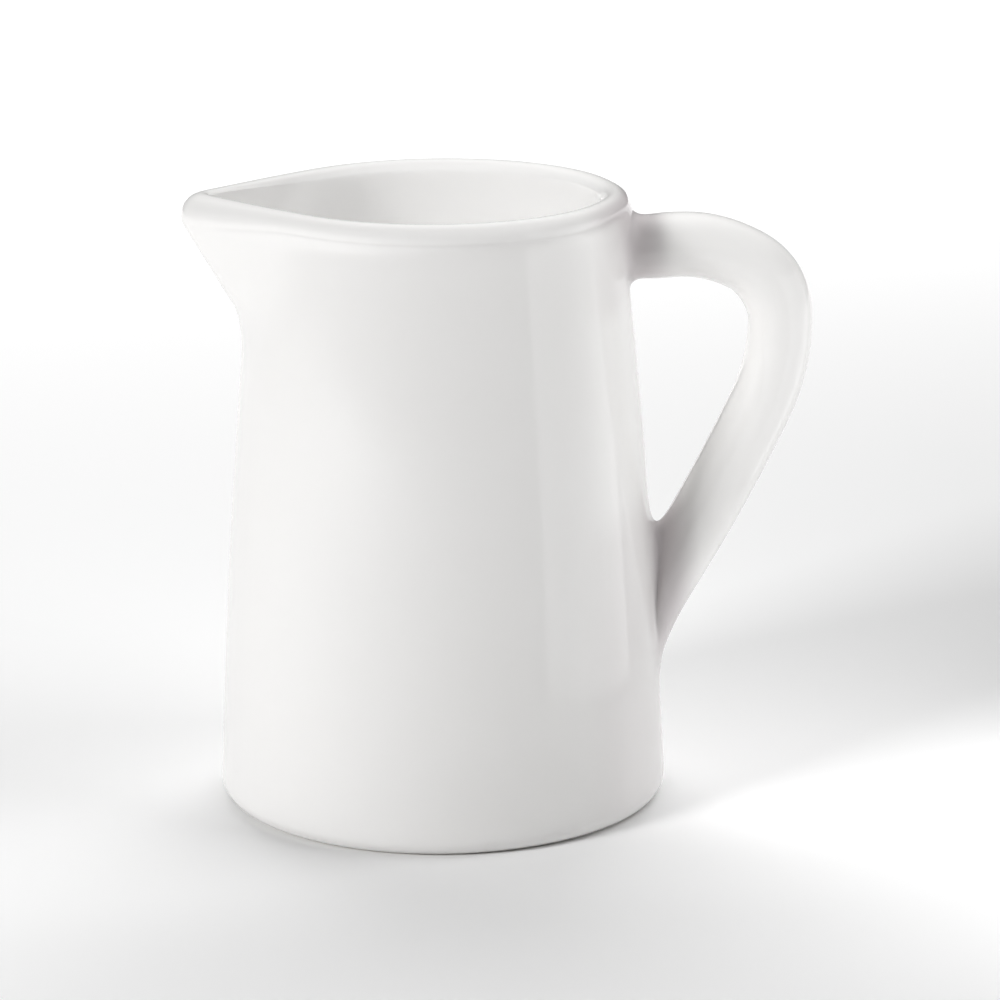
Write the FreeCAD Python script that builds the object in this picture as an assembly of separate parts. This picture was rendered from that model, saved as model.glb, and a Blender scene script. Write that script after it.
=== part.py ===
import FreeCAD, Part
import math
import os

# A one-piece glazed porcelain milk jug: a tapering body with a rolled rim, a pulled pouring
# lip and a loop handle.  Millimetres, +Z up, the origin on the body's axis at the plane that
# the foot stands on.  The handle points along +X and the pouring lip along -X.

# Body
height = 110.0            # foot plane to the crest of the rim
foot_radius = 40.2        # outer wall, carried down to the foot plane
neck_radius = 31.9        # outer wall, carried up to the crest of the rim
belly = 1.1               # how far the wall swells out of a straight taper at half height
wall = 3.6
floor = 5.2               # inner floor above the foot plane
floor_corner = 7.0        # round between the floor and the inner wall
floor_share = 0.85        # share of the flat floor's radius that ends the inner skin

# Foot
foot_round = 3.4
ring_width = 5.7          # flat of the standing ring
recess_depth = 1.8
recess_round = 1.2

# Rolled rim
bead_radius = 2.3
bead_proud = 1.05         # how far the rim stands out of the wall
bead_start = -45          # degrees above level at which the rim's round leaves the wall

# Pouring lip, in the plane through the axis
lip_reach = 45.1          # axis to the outermost point of the lip
lip_radius = 3.9          # outer round of the lip
lip_edge_radius = 1.6     # inner round of the lip
lip_drop = 0.15           # the lip's crest lies this much below the rim's
beak_slope = 58.7         # underside of the lip, degrees from level
throat_slope = 67.0       # inside of the lip, degrees from level
beak_softness = 1.5       # how gently the beak grows out of the wall
beak_sag = 0.9            # how much lower the beak's last level lies than the wall's
sink_share = 0.8          # share of the wall's run from which the levels sink to the beak

# Pouring lip, seen from above
crest_nose = 3.0          # radius of the crest's tip
root_nose = 16.0          # radius of the beak where it leaves the wall
flank_softness = 0.7      # how gently the flanks leave the round body
smallest_nose = 2.0       # radius of the throat's tip at its tightest

# Handle
handle_thickness = 11.4   # in the plane of the loop
handle_width = 13.2       # across that plane
handle_reach = 66.1       # axis to the outermost point of the loop
handle_drop = 4.2         # top of the loop below the rim's crest
crotch_share = 0.394      # share of the height at which the lower arm's inner side meets the wall
arm_rise = 4.5            # degrees that the upper arm climbs away from the body
shoulder_radius = 23.4    # centre line of the loop's flat top
shoulder_turn = 28.6      # degrees below level at which the tighter bend takes over
bend_radius = 12.0
bend_swell = 0.5          # how much thicker the loop is in that bend
sweep_radius = 38.0       # centre line below the outermost point
lower_radius = 300.0      # the lower arm is nearly straight
tail_length = 11.4        # how far the lower end runs on down the wall
tail_width = 10.0
root_depth = 2.0          # how far the upper arm reaches into the wall
lower_depth = 1.4         # how far the lower arm's inner side does
tail_depth = 2.4          # how far the tail's tip does
tail_height = 8.0         # height of the tail's buried end
root_flare = 2.4          # how much taller the upper arm is at the wall
arm_fillet = 2.5
tail_round = (40.0, 2.2, 1.7)     # rounds between the tail and the wall, at its tip, on its
tail_spread = (4.0, 3.5, 5.0)     # flanks and in the crotch, and how far each may run out
edge_lift = 0.1           # how far the round's edge stands proud, so that the skins cross
feather = 1.2             # how far the tail's skin then runs on under the wall's, sinking
feather_depth = 0.4       # to this depth
end_radius = 1.0          # of the small flat that closes the buried end
saddle = 0.7              # how far the handle pushes the rim out
saddle_spread = 20.0      # degrees to each side over which it does so
saddle_core = 6.7         # degrees to each side over which it does so fully
saddle_low = 0.85         # share of the wall's run at which the hollow under the rim
saddle_high = 0.97        # begins to fill up, and is full

# Fineness of the surfaces' control nets
wall_levels = 19
wall_crowding = 1.7       # how much closer the wall's levels lie towards the rim
rim_levels = 10
throat_levels = 16
throat_crowding = 1.35    # how much closer the inner wall's levels lie towards the rim
ring_columns = 64
column_crowding = 0.6     # how much closer the columns stand at the lip
handle_columns = 24
arm_levels = 8
arm_kept = 2              # sections of the lower arm that stay as they are
tail_levels = 5           # rings from there to the round at the wall
arm_crowding = 1.6        # how much closer the lower arm's sections lie towards the wall
bend_levels = 6
shoulder_levels = 4
sweep_levels = 5
round_levels = 4          # levels in each quarter of a circle at the foot and the floor
rail_steps = 200
outline_steps = 360


Vector = FreeCAD.Vector


def mix(a, b, t):
    return a + (b - a) * t


def ease(t):
    t = max(0.0, min(1.0, t))
    return t * t * (3 - 2 * t)


def soft_max(a, b, softness):
    return (a + b + math.hypot(a - b, softness)) / 2


def wall_radius(z):
    t = z / height
    return mix(foot_radius, neck_radius, t) + 4 * belly * t * (1 - t)


def spline_weight(values):
    """The control value that makes a cubic spline pass close to the middle of three values."""
    before, here, after = values
    return here - (before - 2 * here + after) / 6


def correct(before, here, after):
    return Vector(*(spline_weight(v) for v in zip(before, here, after)))


def net_solid(rows):
    """A solid between two flat ends, its skin a bicubic spline surface led through rows of
    points, each row a closed ring."""
    count = len(rows[0])
    nets = [[correct(row[i - 1], row[i], row[(i + 1) % count]) for i in range(count)] for row in rows]
    poles = [nets[0]]
    for below, here, above in zip(nets, nets[1:], nets[2:]):
        poles.append([correct(a, b, c) for a, b, c in zip(below, here, above)])
    poles.append(nets[-1])
    spans = len(rows) - 3
    surface = Part.BSplineSurface()
    surface.buildFromPolesMultsKnots(
        [list(column) for column in zip(*poles)],
        [1] * (count + 1),
        [4] + [1] * (spans - 1) + [4],
        [float(k) for k in range(count + 1)],
        [float(k) for k in range(spans + 1)],
        True,
        False,
        3,
        3,
    )
    skin = surface.toShape()
    ends = [surface.vIso(float(v)).toShape() for v in (0, spans)]
    caps = [Part.Face(Part.Wire([edge])) for edge in ends]
    shell = Part.Shell([skin] + caps)
    shell.sewShape()
    solid = Part.Solid(Part.Shell(shell.Faces))
    if solid.Volume < 0:
        solid.reverse()
    return solid


# The lip's section in the plane through the axis: two rounds that share one crest.
lip_x = lip_reach - lip_radius
lip_crest_z = height - lip_drop
lip_z = lip_crest_z - lip_radius
lip_edge_z = lip_crest_z - lip_edge_radius
nose_centre = lip_x - crest_nose


def lip_point(angle):
    """A point of the lip's section by its normal's angle above level, outwards."""
    radius, z = (lip_radius, lip_z) if angle < 90 else (lip_edge_radius, lip_edge_z)
    a = math.radians(angle)
    return lip_x + radius * math.cos(a), z + radius * math.sin(a)


def slope_reach(z, angle, slope, wall_x):
    """A straight slope that runs down from the lip's section and blends into the wall."""
    x, top = lip_point(angle)
    return soft_max(wall_x, x - (top - z) / math.tan(math.radians(slope)), beak_softness)


def beak_reach(z):
    return slope_reach(z, beak_slope - 90, beak_slope, wall_radius(z))


def throat_reach(z):
    return slope_reach(z, throat_slope + 90, throat_slope, wall_radius(z) - wall)


beak_top_nose = crest_nose + lip_radius * math.sin(math.radians(beak_slope))
beak_root_z = lip_z - (lip_reach - wall_radius(lip_z)) * math.tan(math.radians(beak_slope))


def nose_radius(z):
    """Radius of the beak's tip seen from above, wider towards its root."""
    t = (z - beak_root_z) / (lip_z - beak_root_z)
    return mix(root_nose, beak_top_nose, ease(t))


def outline_point(phi, radius, reach, nose):
    """A level seen from above: the body's circle and the beak's nose wrapped in one smooth
    convex curve, here at the point whose normal has the direction phi."""
    centre = reach - nose
    gap = max(0.0, reach - radius)
    softness = flank_softness * gap / (gap + 1)
    beak = nose - centre * math.cos(phi)
    spread = math.hypot(beak - radius, softness)
    share = (1 + (beak - radius) / spread) / 2 if spread > 1e-9 else 0.0
    support = (radius + beak + spread) / 2
    turn = centre * math.sin(phi) * share
    x = support * math.cos(phi) - turn * math.sin(phi)
    y = support * math.sin(phi) + turn * math.cos(phi)
    return x, y


def crowded(t):
    """Share of a half outline at which a column stands, closer together at the lip."""
    return t + column_crowding / math.pi * math.sin(math.pi * t)


def level(radius, z, reach, lip_height, nose, fill=0.0):
    """One ring of the body's skin.  Its height passes from z to lip_height along the lip, and
    it stands out by fill at the handle."""
    phis = [math.pi * i / outline_steps for i in range(outline_steps + 1)]
    fine = [outline_point(phi, radius, reach, nose) for phi in phis]
    along = [0.0]
    for a, b in zip(fine, fine[1:]):
        along.append(along[-1] + math.dist(a, b))
    half = []
    step = 0
    columns = ring_columns // 2
    for k in range(columns + 1):
        target = along[-1] * crowded(k / columns)
        while step < outline_steps - 1 and along[step + 1] < target:
            step += 1
        share = (target - along[step]) / (along[step + 1] - along[step])
        x, y = outline_point(mix(phis[step], phis[step + 1], share), radius, reach, nose)
        off_handle = math.degrees(math.atan2(y, x))
        swell = 1 + fill / radius * ease((saddle_spread - off_handle) / (saddle_spread - saddle_core))
        x *= swell
        y *= swell
        leave = radius * math.sqrt(0.5)
        height_share = ease((-x - leave) / (reach - leave))
        half.append(Vector(x, y, mix(z, lip_height, height_share)))
    mirror = [Vector(p.x, -p.y, p.z) for p in half[columns - 1:0:-1]]
    ring = half + mirror
    quarter = columns // 2
    return ring[quarter:] + ring[:quarter]


def round_level(radius, z):
    return level(radius, z, radius, z, radius)


def quarter_round(centre_radius, centre_z, radius, first, last):
    """Levels round a quarter of a circle in the half plane beside the axis."""
    rows = []
    for step in range(round_levels + 1):
        a = math.radians(mix(first, last, step / round_levels))
        rows.append(round_level(centre_radius + radius * math.cos(a), centre_z + radius * math.sin(a)))
    return rows


def body_rows():
    """The body's levels from the foot plane up the wall, over the rim and down to the floor."""
    rows = quarter_round(wall_radius(foot_round) - foot_round, foot_round, foot_round, -90, 0)
    bead_z = height - bead_radius
    bead_x = wall_radius(bead_z) + bead_proud - bead_radius
    # outer wall, with the lip's levels sinking to where the lip's section begins
    run = bead_z - bead_radius - foot_round
    lip_sink = bead_z - bead_radius - lip_point(beak_slope - 90)[1] + beak_sag
    for i in range(1, wall_levels):
        share = 1 - (1 - i / wall_levels) ** wall_crowding
        z = foot_round + run * share
        lip_height = z - lip_sink * ease((share - sink_share) / (1 - sink_share))
        radius = wall_radius(z)
        filled = ease((share - saddle_low) / (saddle_high - saddle_low))
        fill = (bead_x + bead_radius + saddle - radius) * filled
        rows.append(level(radius, z, beak_reach(lip_height), lip_height, nose_radius(lip_height), fill))
    # over the rim
    for i in range(rim_levels + 1):
        share = i / rim_levels
        a = math.radians(mix(bead_start, 180, share))
        x, lip_height = lip_point(mix(beak_slope - 90, throat_slope + 90, share))
        radius = bead_x + bead_radius * math.cos(a)
        fill = saddle * (1 - share) + (bead_x + bead_radius - radius if a < 0 else 0.0)
        z = bead_z + bead_radius * math.sin(a)
        rows.append(level(radius, z, x, lip_height, x - nose_centre, fill))
    # inner wall
    deep = floor + floor_corner
    for i in range(1, throat_levels):
        z = mix(bead_z, deep, (i / throat_levels) ** throat_crowding)
        nose = max(nose_radius(z) - wall, smallest_nose)
        rows.append(level(wall_radius(z) - wall, z, throat_reach(z), z, nose))
    corner = wall_radius(deep) - wall - floor_corner
    rows += quarter_round(corner, deep, floor_corner, 0, -90)
    rows.append(round_level(corner * floor_share, floor))
    return rows


def in_plane(x, z):
    return Vector(x, 0, z)


def heading(angle):
    """A direction in the loop's plane, in degrees above +X."""
    return in_plane(math.cos(math.radians(angle)), math.sin(math.radians(angle)))


def turned(point, angle, radius, turn):
    """Where a path comes to that bends by turn degrees, to the left if positive."""
    side = math.copysign(90, turn)
    return point + (heading(angle + side) - heading(angle + turn + side)) * radius


def run_to_wall(point, along, depth):
    """How far a point runs along a direction until it lies a depth inside the outer wall."""
    run = 0.0
    for _ in range(40):
        here = point + along * run
        run += (here.x - wall_radius(here.z) + depth) / -along.x
    return run


def sweep_to_crotch(outermost, half):
    """Degrees that the loop sweeps in below its outermost point, so that the straight inner
    side of the lower arm meets the wall at the crotch."""
    crotch_z = crotch_share * height
    crotch = in_plane(wall_radius(crotch_z), crotch_z)
    least, most = 0.0, 89.0
    for _ in range(40):
        turn = (least + most) / 2
        along = heading(-90 - turn)
        start = turned(outermost, -90, sweep_radius, -turn) + heading(180 - turn) * half
        to_crotch = crotch - start
        if to_crotch.x * along.z > to_crotch.z * along.x:
            least = turn
        else:
            most = turn
    return least


def outside(point):
    return math.hypot(point.x, point.y) - wall_radius(point.z)


def on_wall(point):
    share = wall_radius(point.z) / math.hypot(point.x, point.y)
    return Vector(point.x * share, point.y * share, point.z)


def wall_normal(point):
    rise = wall_radius(point.z + 0.5) - wall_radius(point.z - 0.5)
    return Vector(point.x, point.y, -rise * math.hypot(point.x, point.y)).normalize()


def by_rail(values, i):
    """A value for one rail, from three for the tail's tip, flanks and crotch."""
    tip, flank, crotch = values
    share = math.cos(2 * math.pi * i / handle_columns)
    return mix(flank, tip if share > 0 else crotch, share * share)


def spread_onto_wall(rows):
    """Leads the rails of the lower arm onto the wall and rounds the corner between them: rings
    down to the round, the round itself, and an end that lies buried in the wall."""
    rails = []
    meets = []
    for i in range(handle_columns):
        rail = Part.BSplineCurve()
        rail.interpolate([row[i] for row in rows])
        first, last = rail.FirstParameter, rail.LastParameter
        step = 1
        while outside(rail.value(mix(first, last, step / rail_steps))) > 0:
            step += 1
        above, below = (mix(first, last, k / rail_steps) for k in (step - 1, step))
        for _ in range(30):
            half_way = (above + below) / 2
            if outside(rail.value(half_way)) > 0:
                above = half_way
            else:
                below = half_way
        rails.append((rail, first, above))
        meets.append(rail.value(above))
    begins, middles, edges, feathers, buried = [], [], [], [], []
    for i, meet in enumerate(meets):
        rail, first, there = rails[i]
        normal = wall_normal(meet)
        round_edge = meets[(i + 1) % handle_columns] - meets[i - 1]
        out = round_edge.cross(normal).normalize()
        away = rail.tangent(there)[0] * -1.0
        bend = math.acos(max(-1.0, min(1.0, away.dot(out))))
        back_off = min(by_rail(tail_round, i) / math.tan(bend / 2), by_rail(tail_spread, i))
        begin = rail.length(first, there) - back_off
        begins.append(begin)
        tangent = rail.value(rail.parameterAtDistance(begin, first))
        edge = on_wall(meet + out * back_off) + normal * edge_lift
        bisector = (tangent + edge) * 0.5 - meet
        reach = back_off * (1 - math.sin(bend / 2)) / max(math.cos(bend / 2), 0.001)
        middles.append(meet + bisector * min(1.0, reach / max(bisector.Length, 0.001)))
        edges.append(edge)
        beyond = on_wall(edge + out * feather)
        inwards = wall_normal(beyond) * -1.0
        feathers.append(beyond + inwards * feather_depth)
        buried.append(beyond + inwards * (wall / 2))
    rings = []
    for k in range(1, tail_levels + 1):
        ring = []
        for (rail, first, there), begin in zip(rails, begins):
            ring.append(rail.value(rail.parameterAtDistance(begin * k / tail_levels, first)))
        rings.append(ring)
    centre = on_wall(in_plane(foot_radius, (edges[0].z + edges[handle_columns // 2].z) / 2))
    centre -= wall_normal(centre) * (wall / 2)
    up = Vector(0, 1, 0).cross(wall_normal(centre) * -1.0).normalize()
    last_ring = []
    for i in range(handle_columns):
        turn = 2 * math.pi * i / handle_columns
        last_ring.append(centre + (Vector(0, math.sin(turn), 0) - up * math.cos(turn)) * end_radius)
    inner = [centre + (point - centre) * 0.5 for point in buried]
    return rings + [middles, edges, feathers, buried, inner, last_ring]


def handle_rows():
    """Oval sections across the loop, from the upper end to the tail, and the height at which
    the upper arm ends in the wall."""
    half = handle_thickness / 2
    outermost_z = height - handle_drop - half - bend_radius * math.cos(math.radians(shoulder_turn))
    outermost_z -= shoulder_radius * (1 - math.cos(math.radians(shoulder_turn)))
    outermost = in_plane(handle_reach - half, outermost_z)
    sweep_turn = sweep_to_crotch(outermost, half)
    rows = []

    def section(inner, outer, width):
        middle = (inner + outer) * 0.5
        reach = (outer - inner) * 0.5
        row = []
        for i in range(handle_columns):
            turn = 2 * math.pi * i / handle_columns
            row.append(middle + reach * math.cos(turn) + Vector(0, width / 2 * math.sin(turn), 0))
        rows.append(row)

    def station(centre, angle, swell=0.0):
        """A section square to the centre line, which heads in the given direction."""
        out = heading(angle + 90) * (half + swell / 2)
        section(centre - out, centre + out, handle_width)

    # Up from the outermost point: bend, shoulder and upper arm, then turned end to start.
    for i in range(bend_levels):
        turn = (90 - shoulder_turn) * i / bend_levels
        swell = bend_swell * math.sin(math.pi * i / bend_levels)
        station(turned(outermost, 90, bend_radius, turn), turn - 90, swell)
    shoulder = turned(outermost, 90, bend_radius, 90 - shoulder_turn)
    rise_turn = shoulder_turn + arm_rise
    for i in range(shoulder_levels + 1):
        turn = rise_turn * i / shoulder_levels
        station(turned(shoulder, 180 - shoulder_turn, shoulder_radius, turn), -shoulder_turn + turn)
    arm = turned(shoulder, 180 - shoulder_turn, shoulder_radius, rise_turn)
    back = heading(180 + arm_rise)
    arm_run = run_to_wall(arm, back, root_depth)
    for share in (0.35, 0.7):
        station(arm + back * (arm_run * share), arm_rise * (1 - share))
    end = arm + back * arm_run
    section(end + in_plane(0, -half - root_flare), end + in_plane(0, half), handle_width)
    rows.reverse()
    # Down from the outermost point: the sweep, then the lower arm until it is in the wall.
    for i in range(1, sweep_levels + 1):
        turn = -sweep_turn * i / sweep_levels
        station(turned(outermost, -90, sweep_radius, turn), -90 + turn)
    low = turned(outermost, -90, sweep_radius, -sweep_turn)
    start = -90 - sweep_turn
    inner_run = run_to_wall(low + heading(start - 90) * half, heading(start), lower_depth)
    lower_turn = -math.degrees(inner_run / lower_radius)
    kept = len(rows) + arm_kept
    for i in range(1, arm_levels + 1):
        turn = lower_turn * (1 - (1 - i / arm_levels) ** arm_crowding)
        station(turned(low, start, lower_radius, turn), start + turn)
    # The outer side goes on and curves into a tail that lies down the wall.
    along = heading(start + lower_turn)
    last = turned(low, start, lower_radius, lower_turn)
    last_inner = last + heading(start + lower_turn - 90) * half
    last_outer = last - heading(start + lower_turn - 90) * half
    hit = last_outer + along * run_to_wall(last_outer, along, 0)
    tail_start = hit - along * tail_length
    tail_z = hit.z - tail_length
    tail_end = in_plane(wall_radius(tail_z) - tail_depth, tail_z)
    for share in (0.25, 0.5, 0.75, 1.0):
        outer = (tail_start * (1 - share) + hit * (2 * share)) * (1 - share) + tail_end * share * share
        width = mix(handle_width, tail_width, ease(share))
        inner_z = mix(last_inner.z, tail_z + tail_height, share)
        section(in_plane(wall_radius(inner_z) - lower_depth, inner_z), outer, width)
    return rows[:kept] + spread_onto_wall(rows[kept - 1 :]), end.z


def root_edge(shape, z):
    """The closed edge at which the handle meets the wall near a height."""
    for edge in shape.Edges:
        box = edge.BoundBox
        if edge.isClosed() and box.XMin > neck_radius / 2 and box.ZMin < z < box.ZMax:
            return edge


pot = net_solid(body_rows())
recess = Part.makeCylinder(foot_radius - foot_round - ring_width, recess_depth)
recess = recess.makeFillet(recess_round, [recess.Edges[0]])
pot = pot.cut(recess)

sections, arm_z = handle_rows()
jug = pot.fuse(net_solid(sections))
jug = jug.makeFillet(arm_fillet, [root_edge(jug, arm_z)])

os.makedirs("parts", exist_ok=True)
jug.exportStep("parts/jug.step")
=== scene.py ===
import bpy
import bmesh
import math
import numpy as np
from mathutils import Matrix, Vector


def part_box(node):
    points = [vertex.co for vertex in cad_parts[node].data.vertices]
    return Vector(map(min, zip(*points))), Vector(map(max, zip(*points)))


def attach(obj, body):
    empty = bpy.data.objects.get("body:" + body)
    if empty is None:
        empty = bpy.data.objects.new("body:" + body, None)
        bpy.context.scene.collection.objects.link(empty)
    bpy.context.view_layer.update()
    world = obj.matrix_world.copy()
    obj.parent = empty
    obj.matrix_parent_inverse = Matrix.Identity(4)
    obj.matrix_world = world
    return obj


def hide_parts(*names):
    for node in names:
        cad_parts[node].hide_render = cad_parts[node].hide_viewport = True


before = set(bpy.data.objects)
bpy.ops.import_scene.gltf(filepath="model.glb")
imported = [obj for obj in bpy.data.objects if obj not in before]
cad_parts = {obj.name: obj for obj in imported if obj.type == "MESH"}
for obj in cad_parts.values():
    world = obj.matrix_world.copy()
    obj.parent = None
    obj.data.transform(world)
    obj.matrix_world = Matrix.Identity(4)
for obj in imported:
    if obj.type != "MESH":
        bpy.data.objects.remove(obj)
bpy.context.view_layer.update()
scene = bpy.context.scene
mm = 0.001

# ---------------------------------------------------------------------------------------------
# The pot: a slip-cast porcelain body that tapers from a broad foot to the neck, closed by a
# floor and open at the top.  It stands on a narrow ring round a shallow recess, and is
# described level by level, each level a closed ring.

low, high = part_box("jug")
height = high.z
foot_radius = 40.2 * mm
neck_radius = 31.9 * mm
belly = 1.1 * mm
wall = 3.6 * mm
floor_height = 5.2 * mm
floor_corner = 7.0 * mm
foot_round = 3.4 * mm
ring_inner_radius = 31.1 * mm
ring_edge = 0.45 * mm
recess_depth = 1.8 * mm
recess_round = 1.2 * mm
columns = 64
outline_steps = 720


def mix(a, b, t):
    return a + (b - a) * t


def ease(t):
    t = np.clip(t, 0.0, 1.0)
    return t * t * (3 - 2 * t)


def arc(centre, radius, angles):
    """Points of a round in the half plane beside the axis, by their angles above level."""
    turns = [math.radians(a) for a in angles]
    return [(centre[0] + radius * math.cos(a), centre[1] + radius * math.sin(a)) for a in turns]


def wall_radius(z):
    """The outer wall's radius at a height, with its slight belly."""
    t = z / height
    return mix(foot_radius, neck_radius, t) + 4 * belly * t * (1 - t)


# ---------------------------------------------------------------------------------------------
# The rim and the pouring lip: the wall's upper edge is rolled outwards into a round bead, and
# on the side away from the handle it is pulled out into a narrow beak while the clay is soft.
# The wall's levels run on over the bead and down the inside, so all of it is one skin.

bead_radius = 2.3 * mm
bead_proud = 1.05 * mm
bead_start = -45
hollow_depth = 3.7 * mm
bead_z = height - bead_radius
bead_x = wall_radius(bead_z) + bead_proud - bead_radius
hollow_z = bead_z - hollow_depth

lip_reach = -low.x
lip_radius = 3.9 * mm
lip_edge_radius = 1.6 * mm
lip_drop = 0.15 * mm
beak_slope = 58.7
throat_slope = 67.0
beak_softness = 1.5 * mm
beak_sag = 0.9 * mm
sink_share = 0.8
crest_nose = 3.0 * mm
root_nose = 16.0 * mm
smallest_nose = 2.0 * mm
flank_softness = 0.7 * mm
smallest_softness = 1e-9

lip_crest = height - lip_drop
lip_x = lip_reach - lip_radius
lip_z = lip_crest - lip_radius
lip_edge_z = lip_crest - lip_edge_radius
nose_centre = lip_x - crest_nose
top_nose = crest_nose + lip_radius * math.sin(math.radians(beak_slope))
beak_root_z = lip_z - (lip_reach - wall_radius(lip_z)) * math.tan(math.radians(beak_slope))


def lip_point(angle):
    """A point of the lip's section by its normal's angle above level, outwards."""
    radius, z = (lip_radius, lip_z) if angle < 90 else (lip_edge_radius, lip_edge_z)
    return arc((lip_x, z), radius, [angle])[0]


def slope_reach(z, angle, slope, wall_x):
    """A straight slope that runs down from the lip's section and blends into the wall."""
    x, top = lip_point(angle)
    straight = x - (top - z) / math.tan(math.radians(slope))
    return (wall_x + straight + math.hypot(wall_x - straight, beak_softness)) / 2


def nose_radius(z):
    """Radius of the beak's tip seen from above, wider towards its root."""
    return mix(root_nose, top_nose, ease((z - beak_root_z) / (lip_z - beak_root_z)))


def outline(phi, radius, reach, nose):
    """A level seen from above: the pot's circle and the beak's nose wrapped in one smooth
    convex curve, given at the points whose normals have the directions phi."""
    centre = reach - nose
    gap = max(0.0, reach - radius)
    softness = flank_softness * gap / (gap + mm) + smallest_softness
    beak = nose - centre * np.cos(phi)
    spread = np.hypot(beak - radius, softness)
    share = (1 + (beak - radius) / spread) / 2
    support = (radius + beak + spread) / 2
    turn = centre * np.sin(phi) * share
    return support * np.cos(phi) - turn * np.sin(phi), support * np.sin(phi) + turn * np.cos(phi)


# The columns stand closer together at the lip than at the handle.
lip_crowding = 0.15
middle_spread = 0.022
even_share = np.arange(columns // 2 + 1) / (columns // 2)
column_share = even_share + lip_crowding * np.sin(math.pi * even_share)
column_share -= middle_spread * np.sin(2 * math.pi * even_share)

# The handle's upper root pushes the rim out a little and fills the hollow under it.
saddle = 0.7 * mm
saddle_spread = 20.0
saddle_steepness = 1.5
fill_start = 90.1 * mm
fill_run = 12.2 * mm


def handle_side(azimuth):
    """1 at the handle, falling to 0 at the saddle's spread on either side of it."""
    return ease(saddle_steepness * (1 - np.degrees(np.abs(azimuth)) / saddle_spread))


def level(radius, z, reach=None, lip_height=None, nose=None, fill=0.0):
    """One ring, counted from the handle's side.  Its height passes from z to lip_height along
    the lip, and it stands out by fill at the handle."""
    reach = radius if reach is None else reach
    nose = radius if nose is None else nose
    lip_height = z if lip_height is None else lip_height
    phi = np.linspace(0, math.pi, outline_steps + 1)
    x, y = outline(phi, radius, reach, nose)
    along = np.concatenate(([0.0], np.cumsum(np.hypot(np.diff(x), np.diff(y)))))
    x, y = outline(np.interp(along[-1] * column_share, along, phi), radius, reach, nose)
    swell = 1 + fill / radius * handle_side(np.arctan2(y, x))
    leave = radius * math.sqrt(0.5)
    heights = mix(z, lip_height, ease((-x - leave) / (reach - leave)))
    half = np.stack([x * swell, y * swell, heights], axis=1)
    half[[0, -1], 1] = 0.0
    return np.concatenate([half, (half * (1, -1, 1))[-2:0:-1]])


def outer_radius(z):
    """The wall, the hollow under the bead and the bead's lower side, away from the handle."""
    end = bead_z - bead_radius * math.sqrt(0.5)
    if z <= hollow_z:
        return wall_radius(z)
    if z >= end:
        return bead_x + math.sqrt(max(0.0, bead_radius**2 - (z - bead_z) ** 2))
    run = end - hollow_z
    t = (z - hollow_z) / run
    first = wall_radius(hollow_z)
    slope = (first - wall_radius(hollow_z - mm)) / mm
    last = bead_x + bead_radius * math.sqrt(0.5)
    blend = ease(t)
    return mix(first, last, blend) + run * t * (1 - t) * ((1 - t) * slope - t)


def wall_fill(z):
    """How far the wall stands out at the handle, so that it runs straight up to the bead."""
    short = bead_x + bead_radius + saddle - outer_radius(z)
    return max(0.0, short) * float(ease((z - fill_start) / fill_run))


# the recess, the standing ring and the foot's round
recess_levels = (9, 17, 24, 28)
rows = [level(r * mm, recess_depth) for r in recess_levels]
recess_corner = (ring_inner_radius - recess_round, recess_depth - recess_round)
rows += [level(*p) for p in arc(recess_corner, recess_round, (90, 45, 0))]
rows += [level(*p) for p in arc((ring_inner_radius + ring_edge, ring_edge), ring_edge, (225, 270))]
foot_corner = wall_radius(foot_round) - foot_round
rows.append(level(mix(ring_inner_radius, foot_corner, 0.5), 0.0))
rows += [level(*p) for p in arc((foot_corner, foot_round), foot_round, (-90, -67.5, -45, -22.5))]

# the outer wall, its levels in millimetres and closer together where the handle's roots end
foot_row = len(rows)
tail_row = foot_row + 4
arm_row = tail_row + 13
wall_levels = [3.4, 6.5, 11, 16.5, 22, 26.5, 31, 35.5, 40, 44.5, 49, 53.5, 59, 65, 71, 77, 83]
wall_levels += [89, 93, 96.5, 99.5, 102, 104.1]
wall_top = bead_z - bead_radius
beak_drop = wall_top - lip_point(beak_slope - 90)[1] + beak_sag
for z in wall_levels:
    z *= mm
    share = (z - foot_round) / (wall_top - foot_round)
    drop = beak_drop * float(ease((share - sink_share) / (1 - sink_share)))
    reach = slope_reach(z - drop, beak_slope - 90, beak_slope, wall_radius(z - drop))
    rows.append(level(outer_radius(z), z, reach, z - drop, nose_radius(z - drop), wall_fill(z)))

# over the rim and the lip
rim_levels = 10
for i in range(rim_levels + 1):
    share = i / rim_levels
    x, lip_height = lip_point(mix(beak_slope - 90, throat_slope + 90, share))
    radius, z = arc((bead_x, bead_z), bead_radius, [mix(bead_start, 180, share)])[0]
    fill = saddle * (1 - share) + (bead_x + bead_radius - radius if z < bead_z else 0.0)
    rows.append(level(radius, z, x, lip_height, x - nose_centre, fill))

# down the inside, first along the lip's throat, and over the floor
throat_shares = [0.03 * i for i in range(1, 8)]
inner_shares = [0.25, 0.3, 0.36, 0.44, 0.54, 0.65, 0.76, 0.86, 0.94]
floor_shares = (0.8, 0.55, 0.3)
deep = floor_height + floor_corner
for share in throat_shares + inner_shares:
    z = mix(bead_z, deep, share)
    inside = wall_radius(z) - wall
    reach = slope_reach(z, throat_slope + 90, throat_slope, inside)
    rows.append(level(inside, z, reach, z, max(nose_radius(z) - wall, smallest_nose)))
corner = wall_radius(deep) - wall - floor_corner
rows += [level(*p) for p in arc((corner, deep), floor_corner, (0, -22.5, -45, -67.5, -90))]
rows += [level(corner * share, floor_height) for share in floor_shares]
skin = np.array(rows)

# ---------------------------------------------------------------------------------------------
# The handle: a thick oval strap of the same clay, bent into a loop and stuck on with slip just
# under the rim and low on the wall.  Its path lies in one plane, its sections are square to
# it, and its lower end runs out into a tail that lies down the wall.

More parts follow.
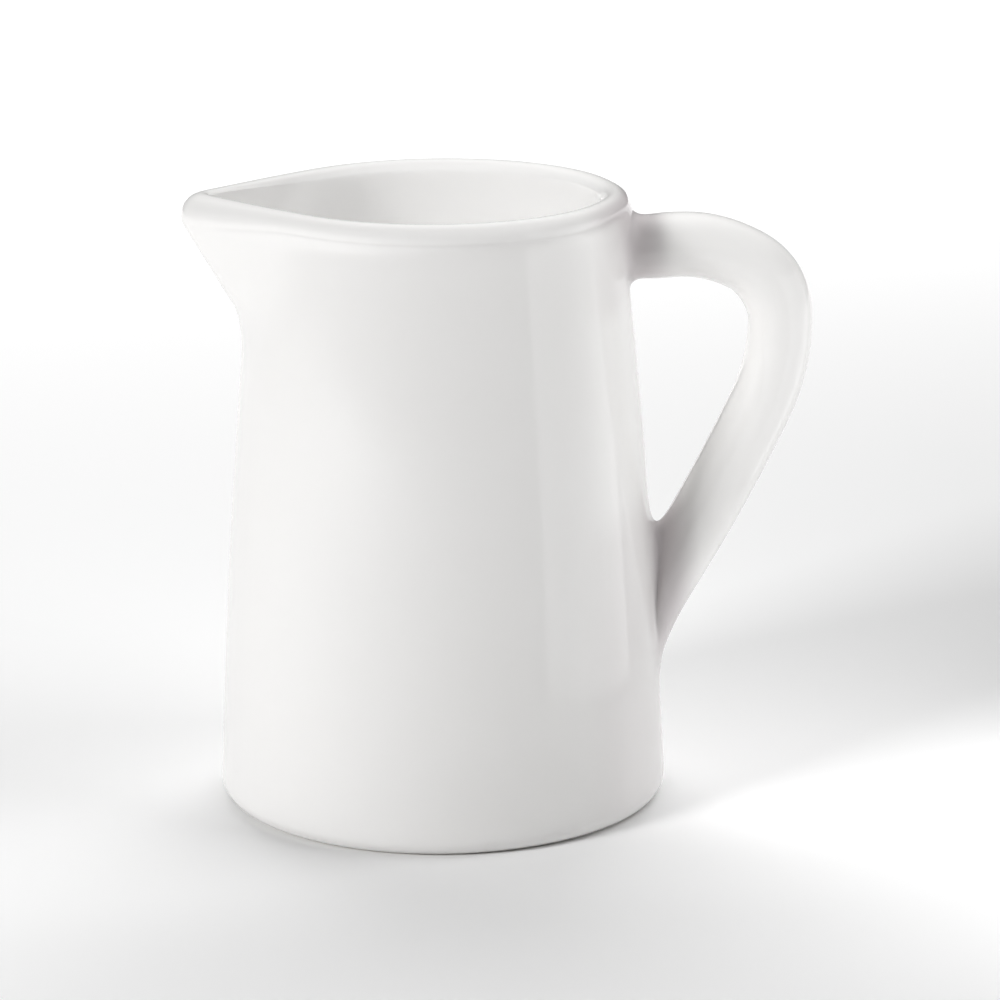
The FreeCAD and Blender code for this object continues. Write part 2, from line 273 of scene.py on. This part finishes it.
handle_thickness = 11.4 * mm
handle_width = 13.2 * mm
handle_reach = high.x
handle_drop = 4.2 * mm
crotch_share = 0.394
arm_rise = 4.5
shoulder_radius = 23.4 * mm
shoulder_turn = 28.6
bend_radius = 12.0 * mm
bend_swell = 0.5 * mm
sweep_radius = 38.0 * mm
lower_radius = 300.0 * mm
tail_length = 11.4 * mm
tail_width = 10.0 * mm
tail_depth = 2.4 * mm
tail_height = 8.0 * mm
root_depth = 2.0 * mm
lower_depth = 1.4 * mm
root_flare = 2.4 * mm
bend_levels = 6
shoulder_levels = 4
arm_shares = (0.35, 0.7)
sweep_levels = 5
lower_levels = 8
lower_crowding = 1.6
tail_shares = (0.25, 0.5, 0.75, 1.0)
closing_in = 40           # steps of each search for a place or an angle
across = 4
tall = 7
rails = 2 * (across + tall)
handle_top = height - handle_drop
crotch_z = crotch_share * height


def heading(angle):
    """A direction in the loop's plane as a complex number, in degrees above +X."""
    return complex(math.cos(math.radians(angle)), math.sin(math.radians(angle)))


def turned(point, angle, radius, turn):
    """Where a path comes to that bends by turn degrees, to the left if positive."""
    side = math.copysign(90, turn)
    return point + (heading(angle + side) - heading(angle + turn + side)) * radius


def run_to_wall(point, along, depth):
    """How far a point runs along a direction until it lies a depth inside the outer wall."""
    run = 0.0
    for _ in range(closing_in):
        here = point + along * run
        run += (here.real - wall_radius(here.imag) + depth) / -along.real
    return run


half = handle_thickness / 2
bend_drop = bend_radius * math.cos(math.radians(shoulder_turn))
shoulder_drop = shoulder_radius * (1 - math.cos(math.radians(shoulder_turn)))
outermost = complex(handle_reach - half, handle_top - half - bend_drop - shoulder_drop)


def crotch_miss(turn):
    """Positive while the lower arm's inner side would meet the wall above the crotch."""
    along = heading(-90 - turn)
    start = turned(outermost, -90, sweep_radius, -turn) + heading(180 - turn) * half
    return ((complex(wall_radius(crotch_z), crotch_z) - start) * along.conjugate()).imag


steep, flat = 0.0, 80.0
for _ in range(closing_in):
    sweep_turn = (steep + flat) / 2
    if crotch_miss(sweep_turn) * crotch_miss(steep) > 0:
        steep = sweep_turn
    else:
        flat = sweep_turn

stations = []


def station(centre, angle, swell=0.0):
    """A section square to the centre line, which heads in the given direction."""
    out = heading(angle + 90) * (half + swell / 2)
    stations.append((centre - out, centre + out, handle_width))


# up from the outermost point to the upper root, then turned end to start
for i in range(bend_levels):
    turn = (90 - shoulder_turn) * i / bend_levels
    swell = bend_swell * math.sin(math.pi * i / bend_levels)
    station(turned(outermost, 90, bend_radius, turn), turn - 90, swell)
shoulder = turned(outermost, 90, bend_radius, 90 - shoulder_turn)
for i in range(shoulder_levels + 1):
    turn = (shoulder_turn + arm_rise) * i / shoulder_levels
    station(turned(shoulder, 180 - shoulder_turn, shoulder_radius, turn), turn - shoulder_turn)
arm = turned(shoulder, 180 - shoulder_turn, shoulder_radius, shoulder_turn + arm_rise)
back = heading(180 + arm_rise)
arm_run = run_to_wall(arm, back, root_depth)
for share in arm_shares:
    station(arm + back * (arm_run * share), arm_rise * (1 - share))
end = arm + back * arm_run
stations.append((end - 1j * (half + root_flare), end + 1j * half, handle_width))
stations.reverse()

# down from the outermost point to the wall, then the tail
for i in range(1, sweep_levels + 1):
    turn = -sweep_turn * i / sweep_levels
    station(turned(outermost, -90, sweep_radius, turn), turn - 90)
low_end = turned(outermost, -90, sweep_radius, -sweep_turn)
start = -90 - sweep_turn
inner_run = run_to_wall(low_end + heading(start - 90) * half, heading(start), lower_depth)
lower_turn = -math.degrees(inner_run / lower_radius)
for i in range(1, lower_levels + 1):
    turn = lower_turn * (1 - (1 - i / lower_levels) ** lower_crowding)
    station(turned(low_end, start, lower_radius, turn), start + turn)
along = heading(start + lower_turn)
last_inner, last_outer, _ = stations[-1]
last_inner, last_outer = sorted((last_inner, last_outer), key=lambda p: p.real)
hit = last_outer + along * run_to_wall(last_outer, along, 0)
tail_start = hit - along * tail_length
tail_z = hit.imag - tail_length
tail_end = complex(wall_radius(tail_z) - tail_depth, tail_z)
for share in tail_shares:
    outer = (tail_start * (1 - share) + hit * (2 * share)) * (1 - share) + tail_end * share * share
    inner_z = mix(last_inner.imag, tail_z + tail_height, share)
    inner = complex(wall_radius(inner_z) - lower_depth, inner_z)
    stations.append((inner, outer, mix(handle_width, tail_width, float(ease(share)))))


def oval(inner, outer, width):
    """One section's points, from the loop's outer side round over its flank."""
    turn = 2 * math.pi * np.arange(rails) / rails
    middle, reach = (inner + outer) / 2, (outer - inner) / 2
    path = middle + reach * np.cos(turn)
    return np.stack([path.real, width / 2 * np.sin(turn), path.imag], axis=1)


strap = np.array([oval(*s) for s in stations])


def spline_weights(t):
    """Weights of the four values around a place that is t of the way from the second on."""
    return np.stack(
        [
            (-t + 2 * t**2 - t**3) / 2,
            (2 - 5 * t**2 + 3 * t**3) / 2,
            (t + 4 * t**2 - 3 * t**3) / 2,
            (t**3 - t**2) / 2,
        ],
        axis=-1,
    )


def along_path(points, place):
    """Points at fractional places along rows of points, on a smooth curve."""
    place = np.clip(np.asarray(place, float), 0, len(points) - 1)
    base = np.minimum(np.floor(place).astype(int), len(points) - 2)
    weights = spline_weights(place - base)
    near = np.clip(base[:, None] + np.arange(-1, 3), 0, len(points) - 1)
    return np.einsum("nk,nk...->n...", weights, points[near])


def on_skin(row, column):
    """Points of the pot's skin at fractional rows and columns."""
    row, column = np.asarray(row, float), np.asarray(column, float)
    base = np.floor(column).astype(int)
    weights = spline_weights(column - base)
    near = (base[:, None] + np.arange(-1, 3)) % columns
    row_base = np.floor(row).astype(int)
    row_weights = spline_weights(row - row_base)
    row_near = np.clip(row_base[:, None] + np.arange(-1, 3), 0, len(skin) - 1)
    patch = skin[row_near[:, :, None], near[:, None, :]]
    return np.einsum("na,nb,nabc->nc", row_weights, weights, patch)


def skin_radius(point):
    """The pot's radius at a point's height and on its side, seen from the axis."""
    azimuth = math.atan2(point[1], point[0])
    return outer_radius(point[2]) + wall_fill(point[2]) * float(handle_side(azimuth))


def depth_outside(point):
    """How far a point lies outside the pot's skin."""
    return math.hypot(point[0], point[1]) - skin_radius(point)


def put_on_skin(point):
    scale = skin_radius(point) / math.hypot(point[0], point[1])
    return np.array([point[0] * scale, point[1] * scale, point[2]])


def unit(v):
    return v / np.linalg.norm(v)


path_steps = 24           # from one section to the next
wall_lean = 0.1           # the wall's normal points upwards by this much
flattest = 1e-3


def land(strap_rows, round_sizes, longest):
    """Leads the rails of a strap onto the wall.  Gives each rail's finely divided path, the
    length at which its round into the wall begins, the round's middle and its end."""
    paths, begins, middles, ends = [], [], [], []
    steps = np.linspace(0, len(strap_rows) - 1, path_steps * (len(strap_rows) - 1) + 1)
    for i in range(rails):
        path = along_path(strap_rows[:, i], steps)
        outside = np.array([depth_outside(p) for p in path])
        first = int(np.argmax(outside < 0))
        share = outside[first - 1] / (outside[first - 1] - outside[first])
        meet = mix(path[first - 1], path[first], share)
        away = unit(path[first - 1] - path[first])
        lengths = np.concatenate(([0.0], np.cumsum(np.linalg.norm(np.diff(path, axis=0), axis=1))))
        length = mix(lengths[first - 1], lengths[first], share)
        wall_normal = unit(np.array([meet[0], meet[1], wall_lean * math.hypot(meet[0], meet[1])]))
        # the strap's own outward direction at this rail
        beside = path[first - 1] - along_path(strap_rows.mean(axis=1), [steps[first - 1]])[0]
        beside = beside - away * beside.dot(away)
        out = unit(beside - wall_normal * beside.dot(wall_normal))
        angle = math.acos(max(-1.0, min(1.0, away.dot(out))))
        back_off = min(round_sizes[i] / math.tan(angle / 2), longest[i])
        paths.append((path, lengths))
        begins.append(length - back_off)
        tangent = np.array([np.interp(begins[-1], lengths, path[:, k]) for k in range(3)])
        edge = put_on_skin(meet + out * back_off)
        bisector = (tangent + edge) / 2 - meet
        reach = np.linalg.norm(bisector)
        bend = back_off * (1 - math.sin(angle / 2)) / max(math.cos(angle / 2), flattest)
        middles.append(meet + bisector * min(1.0, bend / max(reach, flattest * mm)))
        ends.append(edge)
    return paths, np.array(begins), np.array(middles), np.array(ends)


def rings_between(paths, begins, count):
    """Rings that stand at equal shares along every rail, up to where the rounds begin."""
    rings = []
    for k in range(1, count + 1):
        ring = []
        for (path, lengths), begin in zip(paths, begins):
            ring.append([np.interp(begin * (k / count), lengths, path[:, c]) for c in range(3)])
        rings.append(np.array(ring))
    return rings


def share_round(top, side, bottom):
    """A value for each rail, from the loop's outer side over its flank to its inner side."""
    turn = np.cos(2 * math.pi * np.arange(rails) / rails)
    return side + np.where(turn > 0, (top - side) * turn**2, (bottom - side) * turn**2)


# Between the sections arm_keep and tail_keep the strap stays as it is; its two ends are led
# onto the wall, each with its rounds and how far those may run out.
arm_keep = 3
arm_rounds = share_round(2.6, 2.4, 2.9) * mm
arm_longest = share_round(3.0, 3.5, 3.8) * mm
arm_rings = 2
tail_sections = 11
tail_keep = len(strap) - tail_sections
tail_rounds = share_round(40.0, 2.2, 1.7) * mm
tail_longest = share_round(4.0, 3.5, 5.0) * mm
tail_rings = 5

paths, begins, middles, arm_edge = land(strap[arm_keep::-1], arm_rounds, arm_longest)
rings = [arm_edge, middles]
rings += rings_between(paths, begins, arm_rings)[::-1]
rings += [strap[k] for k in range(arm_keep, tail_keep + 1)]
paths, begins, middles, tail_edge = land(strap[tail_keep:], tail_rounds, tail_longest)
rings += rings_between(paths, begins, tail_rings)
rings += [middles, tail_edge]

# ---------------------------------------------------------------------------------------------
# Joining: the handle is stuck to the leather-hard pot with slip, and both roots are sponged
# until they flow into the wall.  The pot's skin is opened there, its levels are led smoothly
# round each root, and the strap's ends are welded to the openings.

crest_row = arm_row + 10
column_margin = 6
row_margin = 3
easing_rounds = 200
smallest_shift = 1e-4


def opening(first_row, outer_on_top):
    """The places on the skin's grid round an opening, in the order of the strap's rails."""
    side = across // 2
    top = first_row + tall
    places = [(top, k) for k in range(0, side + 1)]
    places += [(top - k, side) for k in range(1, tall + 1)]
    places += [(first_row, k) for k in range(side - 1, -side - 1, -1)]
    places += [(first_row + k, -side) for k in range(1, tall + 1)]
    places += [(top, k) for k in range(-side + 1, 0)]
    if not outer_on_top:
        places = [(2 * first_row + tall - r, k) for r, k in places]
    return places


grid = skin.copy()


def make_room(first_row, places, edge):
    """Moves the skin's columns and levels aside so that they run smoothly round an opening."""
    rows_near = np.arange(first_row - row_margin, first_row + tall + row_margin + 1)
    columns_near = np.arange(-column_margin - across // 2, column_margin + across // 2 + 1)
    heights = skin[foot_row:crest_row, 0, 2]
    shift = np.zeros((len(rows_near), len(columns_near), 2))
    held = np.ones(shift.shape[:2], bool)
    held[1:-1, 1:-1] = False
    azimuths = np.degrees(np.arctan2(skin[first_row, columns_near, 1], skin[first_row, columns_near, 0]))
    for (r, c), point in zip(places, edge):
        azimuth = math.degrees(math.atan2(point[1], point[0]))
        place = np.interp(azimuth, azimuths, columns_near)
        tall_place = np.interp(point[2], heights, np.arange(foot_row, crest_row))
        i, j = r - rows_near[0], c - columns_near[0]
        shift[i, j] = (tall_place - r, place - c)
        held[i, j] = True
    for _ in range(easing_rounds):
        mean = (shift[:-2, 1:-1] + shift[2:, 1:-1] + shift[1:-1, :-2] + shift[1:-1, 2:]) / 4
        shift[1:-1, 1:-1] = np.where(held[1:-1, 1:-1, None], shift[1:-1, 1:-1], mean)
    for i, r in enumerate(rows_near):
        for j, c in enumerate(columns_near):
            if np.abs(shift[i, j]).max() > smallest_shift:
                grid[r, c] = on_skin([r + shift[i, j, 0]], [c + shift[i, j, 1]])[0]
    for (r, c), point in zip(places, edge):
        grid[r, c] = point


arm_places = opening(arm_row, True)
tail_places = opening(tail_row, False)
make_room(tail_row, tail_places, tail_edge)
make_room(arm_row, arm_places, arm_edge)

cage = bmesh.new()
body = [[cage.verts.new(p) for p in row] for row in grid]
removed = set()
for first_row in (tail_row, arm_row):
    for r in range(first_row, first_row + tall):
        for c in range(-across // 2, across // 2):
            removed.add((r, c % columns))
for r in range(len(body) - 1):
    for c in range(columns):
        if (r, c) not in removed:
            n = (c + 1) % columns
            cage.faces.new((body[r][c], body[r][n], body[r + 1][n], body[r + 1][c]))
cage.faces.new(body[0][::-1])
cage.faces.new(body[-1])
loops = [[body[r][c] for r, c in arm_places]]
for ring in rings[1:-1]:
    loops.append([cage.verts.new(p) for p in ring])
loops.append([body[r][c] for r, c in tail_places])
for a, b in zip(loops, loops[1:]):
    for i in range(rails):
        n = (i + 1) % rails
        cage.faces.new((a[i], a[n], b[n], b[i]))
loose = [v for v in cage.verts if not v.link_faces]
bmesh.ops.delete(cage, geom=loose, context="VERTS")
bmesh.ops.recalc_face_normals(cage, faces=cage.faces)

jug_mesh = bpy.data.meshes.new("jug_cage")
cage.to_mesh(jug_mesh)
cage.free()

# Each pair of the sponge's strokes draws the clay together and then pushes it out again.
draw_in = 0.6
push_out = -0.62
sponge_edge = 1.4         # how sharply its effect ends


def sponge(mesh, joint, reach, strokes):
    """Evens out the clay on both sides of a joint's line, without making it shrink."""
    points = np.array([v.co for v in mesh.vertices])
    ends = np.array([e.vertices for e in mesh.edges])
    nearest = np.linalg.norm(points[:, None] - np.array(joint)[None], axis=2).min(axis=1)
    share = ease(sponge_edge * (1 - nearest / reach))[:, None]
    for stroke in range(2 * strokes):
        total = np.zeros_like(points)
        count = np.zeros(len(points))
        for a, b in ((0, 1), (1, 0)):
            np.add.at(total, ends[:, a], points[ends[:, b]])
            np.add.at(count, ends[:, a], 1)
        strength = draw_in if stroke % 2 == 0 else push_out
        points += strength * share * (total / count[:, None] - points)
    for v, point in zip(mesh.vertices, points):
        v.co = point


def settle(mesh, rounds):
    """Moves the control points outwards until the smooth surface passes through the places
    that they were given."""
    count = len(mesh.vertices)
    target = np.array([v.co for v in mesh.vertices])
    neighbour, across_face, owner_e, owner_f = [], [], [], []
    plain = np.ones(count, bool)
    for face in mesh.polygons:
        corners = list(face.vertices)
        if len(corners) != 4:
            plain[corners] = False
            continue
        for i in range(4):
            owner_f.append(corners[i])
            across_face.append(corners[(i + 2) % 4])
    for edge in mesh.edges:
        a, b = edge.vertices
        owner_e += [a, b]
        neighbour += [b, a]
    valence = np.bincount(owner_e, minlength=count)
    control = target.copy()
    for _ in range(rounds):
        total = control * (valence**2)[:, None]
        np.add.at(total, owner_e, 4 * control[neighbour])
        np.add.at(total, owner_f, control[across_face])
        limit = total / (valence * (valence + 5))[:, None]
        control += np.where(plain[:, None], target - limit, 0)
    for v, p in zip(mesh.vertices, control):
        v.co = p


sponge_reach = 9 * mm
sponge_strokes = 14
settle_rounds = 3
sponge(jug_mesh, tail_edge, sponge_reach, sponge_strokes)
settle(jug_mesh, settle_rounds)
jug = bpy.data.objects.new("glazed_jug", jug_mesh)
scene.collection.objects.link(jug)

# ---------------------------------------------------------------------------------------------
# The glaze: a clear glossy glaze over white porcelain, faintly warm where it lies thick, with
# a very fine orange peel, and the ring that the jug was fired on is wiped bare and dry.  Painted
# shade darkens it to a grey at the handle's roots, and painted light makes the inside whiter.

drift_scale = 22.0
peel_scale = 900.0
peel_depth = 0.05 * mm
peel_strength = 0.04
thin_glaze = (0.91, 0.902, 0.892, 1)
thick_glaze = (0.895, 0.886, 0.874, 1)
# painted shade: the grey that darkens the glaze at the handle's roots
painted_root_shade = (0.66, 0.625, 0.63, 1)
# painted light: a whiter colour for the inside of the pot
painted_inner_light = (0.98, 0.974, 0.965, 1)
bare_clay = (0.80, 0.775, 0.73, 1)
gloss_roughness = 0.085
drift_roughness = 0.03
bare_roughness = 0.5
glaze_ior = 1.55
drift_span = (0.3, 0.7)
inside_span = (-1.2 * mm, -3.2 * mm)
bare_span = (0.45 * mm, 0.25 * mm)
off_wall_span = (9.5 * mm, 3.0 * mm)
on_wall_span = (-0.8 * mm, 1.2 * mm)
arm_span = (88 * mm, 94 * mm)
tail_span = (60 * mm, 50 * mm)
handle_span = (24 * mm, 32 * mm)


class Nodes:
    """Adds nodes to a tree, and lets values from their sockets be used in expressions."""

    def __init__(self, tree):
        self.tree = tree

    def node(self, kind, settings=None, values=None):
        """One node of a kind, with its settings set first and its sockets fed after them."""
        made = self.tree.nodes.new(kind)
        for name, value in (settings or {}).items():
            setattr(made, name, value)
        for key, value in (values or {}).items():
            self.feed(made.inputs[key], value)
        return made

    def feed(self, socket, value):
        if isinstance(value, Value):
            value = value.socket
        if isinstance(value, bpy.types.NodeSocket):
            self.tree.links.new(value, socket)
        else:
            socket.default_value = value

    def out(self, kind, settings=None, values=None, name=0):
        """A new node's output, as a value for expressions."""
        return Value(self, self.node(kind, settings, values).outputs[name])


class Value:
    """One socket's value; arithmetic on it adds Math nodes."""

    def __init__(self, nodes, socket):
        self.nodes = nodes
        self.socket = socket

    def maths(self, operation, *values):
        return self.nodes.out("ShaderNodeMath", {"operation": operation}, dict(enumerate(values)))

    def square_root(self):
        return self.maths("SQRT", self)

    def __add__(self, other):
        return self.maths("ADD", self, other)

    def __sub__(self, other):
        return self.maths("SUBTRACT", self, other)

    def __rsub__(self, other):
        return self.maths("SUBTRACT", other, self)

    def __mul__(self, other):
        return self.maths("MULTIPLY", self, other)

    def __truediv__(self, other):
        return self.maths("DIVIDE", self, other)

    def between(self, first, last):
        """0 up to first, 1 from last on, or the other way round, and a smooth step between."""
        settings = {"interpolation_type": "SMOOTHSTEP", "clamp": True}
        values = {"Value": self, "From Min": first, "From Max": last}
        return self.nodes.out("ShaderNodeMapRange", settings, values)

    __radd__ = __add__
    __rmul__ = __mul__


glaze = bpy.data.materials.new("white_glaze")
glaze.use_nodes = True
glaze.node_tree.nodes.clear()
g = Nodes(glaze.node_tree)
place = g.node("ShaderNodeTexCoord").outputs["Object"]
parts = g.node("ShaderNodeSeparateXYZ", values={"Vector": place}).outputs
above_table = Value(g, parts["Z"])
sideways = Value(g, parts["Y"])
towards_handle = Value(g, parts["X"])
drift_values = {"Vector": place, "Scale": drift_scale, "Detail": 2.0}
drift = g.out("ShaderNodeTexNoise", values=drift_values, name="Fac")
peel_values = {"Vector": place, "Scale": peel_scale, "Detail": 1.0}
peel = g.out("ShaderNodeTexNoise", values=peel_values, name="Fac")
from_axis = (towards_handle * towards_handle + sideways * sideways).square_root()
outside_wall = from_axis - wall_radius(above_table)
inside = outside_wall.between(*inside_span)
bare = above_table.between(*bare_span)


def glaze_colour(share, first, second):
    """The first colour where share is 0, the second where it is 1."""
    values = {"Factor": share, "A": first, "B": second}
    return g.node("ShaderNodeMix", {"data_type": "RGBA"}, values).outputs["Result"]


# painted shade at the handle's roots: close to the wall, at the heights of both roots, on the handle's
# side
near_wall = outside_wall.between(*off_wall_span) * outside_wall.between(*on_wall_span)
near_root = above_table.between(*arm_span) + above_table.between(*tail_span)
root_shade_mask = near_wall * near_root * towards_handle.between(*handle_span)
outer_tone = glaze_colour(drift.between(*drift_span), thin_glaze, thick_glaze)
tone_with_root_shade = glaze_colour(root_shade_mask, outer_tone, painted_root_shade)
# painted light: the inside of the pot is made whiter than the outside
tone_with_inner_light = glaze_colour(inside, tone_with_root_shade, painted_inner_light)
colour = glaze_colour(bare, tone_with_inner_light, bare_clay)
bump_values = {"Strength": peel_strength, "Distance": peel_depth, "Height": peel}
bump = g.node("ShaderNodeBump", values=bump_values).outputs[0]
shader = g.node(
    "ShaderNodeBsdfPrincipled",
    values={
        "Base Color": colour,
        "Roughness": gloss_roughness + drift * drift_roughness + bare * bare_roughness,
        "IOR": glaze_ior,
        "Normal": bump,
    },
)
g.node("ShaderNodeOutputMaterial", values={"Surface": shader.outputs[0]})

# ---------------------------------------------------------------------------------------------
# Finishing: the joined clay is rounded off, keeps the slight unevenness of hand work, and is
# dipped in the glaze.  It then comes out of the kiln as one hard piece.

rounding = 2
unevenness = 0.25 * mm
patches_per_metre = 28.0
unevenness_seed = 3.0

tree = bpy.data.node_groups.new("finish_ware", "GeometryNodeTree")
face = tree.interface
face.new_socket("Geometry", in_out="INPUT", socket_type="NodeSocketGeometry")
face.new_socket("Rounding", in_out="INPUT", socket_type="NodeSocketInt")
face.new_socket("Unevenness", in_out="INPUT", socket_type="NodeSocketFloat")
face.new_socket("Patches per metre", in_out="INPUT", socket_type="NodeSocketFloat")
face.new_socket("Seed", in_out="INPUT", socket_type="NodeSocketFloat")
face.new_socket("Glaze", in_out="INPUT", socket_type="NodeSocketMaterial")
face.new_socket("Geometry", in_out="OUTPUT", socket_type="NodeSocketGeometry")
f = Nodes(tree)
given = f.node("NodeGroupInput").outputs
rounded = f.node(
    "GeometryNodeSubdivisionSurface",
    values={"Mesh": given["Geometry"], "Level": given["Rounding"], "Limit Surface": True},
).outputs[0]
where = f.node("GeometryNodeInputPosition").outputs[0]
along_wall = f.node("GeometryNodeInputNormal").outputs[0]
patches = f.out(
    "ShaderNodeTexNoise",
    {"noise_dimensions": "4D"},
    {"Vector": where, "W": given["Seed"], "Scale": given["Patches per metre"], "Detail": 1.0},
    name="Fac",
)
hollow = (patches - 0.5) * Value(f, given["Unevenness"])
push = f.out("ShaderNodeVectorMath", {"operation": "SCALE"}, {"Vector": along_wall, "Scale": hollow})
uneven = f.node("GeometryNodeSetPosition", values={"Geometry": rounded, "Offset": push}).outputs[0]
smooth = f.node("GeometryNodeSetShadeSmooth", values={"Geometry": uneven}).outputs[0]
whole = f.node("GeometryNodeRealizeInstances", values={"Geometry": smooth}).outputs[0]
dip = {"Geometry": whole, "Material": given["Glaze"]}
dipped = f.node("GeometryNodeSetMaterial", values=dip).outputs[0]
f.node("NodeGroupOutput", values={"Geometry": dipped})

finish = jug.modifiers.new("finish_ware", "NODES")
finish.node_group = tree
sockets = {item.name: item.identifier for item in face.items_tree if item.in_out == "INPUT"}
finish[sockets["Rounding"]] = rounding
finish[sockets["Unevenness"]] = unevenness
finish[sockets["Patches per metre"]] = patches_per_metre
finish[sockets["Seed"]] = unevenness_seed
finish[sockets["Glaze"]] = glaze
depsgraph = bpy.context.evaluated_depsgraph_get()
finished = bpy.data.meshes.new_from_object(jug.evaluated_get(depsgraph))
jug.modifiers.clear()

# nothing is left to stand out past the solid's own box
points = np.empty(3 * len(finished.vertices), np.float32)
finished.vertices.foreach_get("co", points)
points = np.clip(points.reshape(-1, 3), np.array(low, np.float32), np.array(high, np.float32))
finished.vertices.foreach_set("co", points.ravel())
jug.data = finished

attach(jug, "root")
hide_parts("jug")

# ---------------------------------------------------------------------------------------------
# The table and the backdrop: one wide, pale, matt sheet that the jug stands on.  It lies flat
# under the standing ring and isn't a part of the jug.

table_size = 8.0
table_colour = (0.96, 0.96, 0.96, 1)
table_roughness = 0.6

bpy.ops.mesh.primitive_plane_add(size=table_size)
floor = bpy.context.active_object
floor.name = "table"
pale = bpy.data.materials.new("pale_table")
pale.use_nodes = True
paper = pale.node_tree.nodes["Principled BSDF"]
paper.inputs["Base Color"].default_value = table_colour
paper.inputs["Roughness"].default_value = table_roughness
floor.data.materials.append(pale)

# ---------------------------------------------------------------------------------------------
# The lights: a small key lamp front left, whose shadow falls on the handle's roots, a panel
# high and a card low at the right, and a wide lamp over the backdrop.  Only the card shows in
# the glaze, as a soft stripe down the side.  The room itself is nearly dark.

room_glow = 0.02

world = bpy.data.worlds.new("studio")
scene.world = world
world.use_nodes = True
room = world.node_tree.nodes["Background"]
room.inputs["Color"].default_value = (1, 1, 1, 1)
room.inputs["Strength"].default_value = room_glow


def lamp(name, place, aim, width, tall, glow, mirrored=False):
    """A rectangular light; its glow is the brightness of its face.  Only a mirrored one shows in
    the glaze, the others stand behind diffusing cloth."""
    light = bpy.data.lights.new(name, "AREA")
    light.shape = "RECTANGLE"
    light.size = width
    light.size_y = tall
    light.energy = glow * width * tall * math.pi
    holder = bpy.data.objects.new(name, light)
    holder.location = place
    holder.rotation_euler = (Vector(aim) - Vector(place)).to_track_quat("-Z", "Y").to_euler()
    holder.visible_glossy = mirrored
    scene.collection.objects.link(holder)


def softbox(name, azimuth, elevation, distance, width, tall, glow):
    """A light aimed at the jug, its azimuth counted from the front to the right."""
    a, e = math.radians(azimuth), math.radians(elevation)
    middle = Vector((0.0, 0.0, height / 2))
    away = Vector((math.sin(a) * math.cos(e), -math.cos(a) * math.cos(e), math.sin(e)))
    lamp(name, middle + away * distance, middle, width, tall, glow)


softbox("key", azimuth=-49, elevation=24, distance=1.2, width=0.3, tall=0.3, glow=32.5)
panel_place, panel_aim = (0.16, -0.048, 0.325), (0.0, -0.048, 0.325)
lamp("right_panel", panel_place, panel_aim, width=0.164, tall=0.25, glow=4.7)
card_place, card_aim = (0.125, -0.037, 0.061), (0.0, -0.037, 0.061)
lamp("right_card", card_place, card_aim, width=0.128, tall=0.118, glow=0.88, mirrored=True)
lamp("over_backdrop", (0.0, 1.3, 1.2), (0.0, 1.3, 0.0), width=1.6, tall=1.2, glow=6.0)

# ---------------------------------------------------------------------------------------------
# The camera: a long lens three quarters of a metre away, which looks down on the jug by about
# 15 degrees, so that the rim opens into a flat oval and the inside shows.  It is aimed a
# little beside the axis at half height, and rolled by a fraction of a degree.

lens_length = 155.016
sensor_width = 36.0
camera_pitch = 14.87
camera_roll = -0.0064
camera_distance = 0.770
camera_aside = 0.01062
camera_lift = -0.001294
aim_height = 0.055

camera_data = bpy.data.cameras.new("camera")
camera_data.lens = lens_length
camera_data.sensor_width = sensor_width
camera = bpy.data.objects.new("camera", camera_data)
pitch = math.radians(camera_pitch)
forward = Vector((0, math.cos(pitch), -math.sin(pitch)))
up = Vector((0, math.sin(pitch), math.cos(pitch)))
right = Vector((1, 0, 0))
aim = Vector((0, 0, aim_height))
position = right * camera_aside + up * camera_lift - forward * camera_distance + aim
roll = camera_roll
right, up = right * math.cos(roll) + up * math.sin(roll), up * math.cos(roll) - right * math.sin(roll)
turn = Matrix((right, up, -forward)).transposed().to_4x4()
camera.matrix_world = Matrix.Translation(position) @ turn
scene.collection.objects.link(camera)
scene.camera = camera
scene.view_settings.view_transform = "Standard"
